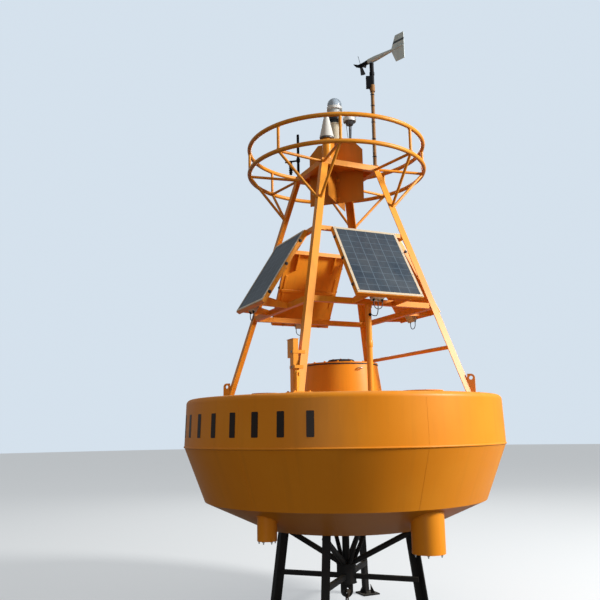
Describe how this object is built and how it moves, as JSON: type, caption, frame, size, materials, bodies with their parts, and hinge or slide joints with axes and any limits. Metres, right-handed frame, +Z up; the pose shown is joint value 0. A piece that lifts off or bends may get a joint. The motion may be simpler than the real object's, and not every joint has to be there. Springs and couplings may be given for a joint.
{
  "type": "steel navigation and weather buoy on its under-frame",
  "caption": "Round steel buoy with a leaning four-leg tower, guard rail, radar reflector, solar panels and wind vane, parked on a black under-frame.",
  "frame": {"origin": "on the ground, on the hull's axis", "axes": "+Z up; the tower's four faces look along -Y (front), +X, +Y and -X"},
  "size_m": [3.012, 3.0119, 5.5315],
  "materials": {
    "hull_paint": "semi-gloss marine paint, lightly weathered",
    "tower_paint": "semi-gloss marine paint, chipped at the edges",
    "anodised_frame": "satin anodised",
    "solar_cells": "glossy laminate over dark blue cells",
    "lantern_shell": "gloss, with a clear dome",
    "white_shell": "gloss moulding",
    "galvanised": "galvanised",
    "black_moulding": "matt moulding",
    "sensor_shell": "matt moulding, weathered",
    "stand_paint": "dull black paint, dusty and rust stained"
  },
  "bodies": {
    "root": {"hull": "hull_paint", "hatch_coaming": "hull_paint", "hatch_hinge": "hull_paint", "well_tubes": "hull_paint", "well_covers": "hull_paint", "tower_legs": "tower_paint", "leg_shoes": "tower_paint", "lifting_lugs": "tower_paint", "beams_upper": "tower_paint", "beams_lower": "tower_paint", "tie_bar": "tower_paint", "platform": "tower_paint", "radar_reflector": "tower_paint", "rail_ring_upper": "tower_paint", "rail_ring_lower": "tower_paint", "rail_posts": "tower_paint", "rail_spokes": "tower_paint", "rail_struts": "tower_paint", "panel_trays": "tower_paint", "panel_brackets": "tower_paint", "solar_panels": "anodised_frame", "solar_glass": "solar_cells", "conduit_pipe": "tower_paint", "riser_duct": "tower_paint", "lantern": "lantern_shell", "beacon_foot": "tower_paint", "beacon": "white_shell", "aerial": "white_shell", "thin_post": "black_moulding", "wind_mast": "galvanised", "wind_socket": "black_moulding", "stand_legs": "stand_paint", "stand_feet": "stand_paint", "stand_struts": "stand_paint", "stand_diagonals": "stand_paint", "stand_fan": "stand_paint", "stand_column": "stand_paint", "mooring_eye": "stand_paint"},
    "hatch": {"hatch_lid": "hull_paint", "lid_vent": "black_moulding"},
    "vane": {"vane_body": "sensor_shell", "vane_nose": "black_moulding"},
    "rotor": {"propeller": "black_moulding"}
  },
  "joints": [
    {"name": "hatch_hinge", "type": "hinge", "parent": "root", "child": "hatch", "pos_m": [0, 0.388, 2.2703], "axis": [-1, 0, 0], "range_deg": [0, 95]},
    {"name": "vane_yaw", "type": "hinge", "parent": "root", "child": "vane", "pos_m": [0.29133, -0.29133, 5.39], "axis": [0, 0, 1], "continuous": true},
    {"name": "propeller_spin", "type": "hinge", "parent": "vane", "child": "rotor", "pos_m": [0.29133, -0.29133, 5.39], "axis": [-0.3256, 0.9455, 0], "continuous": true}
  ]
}
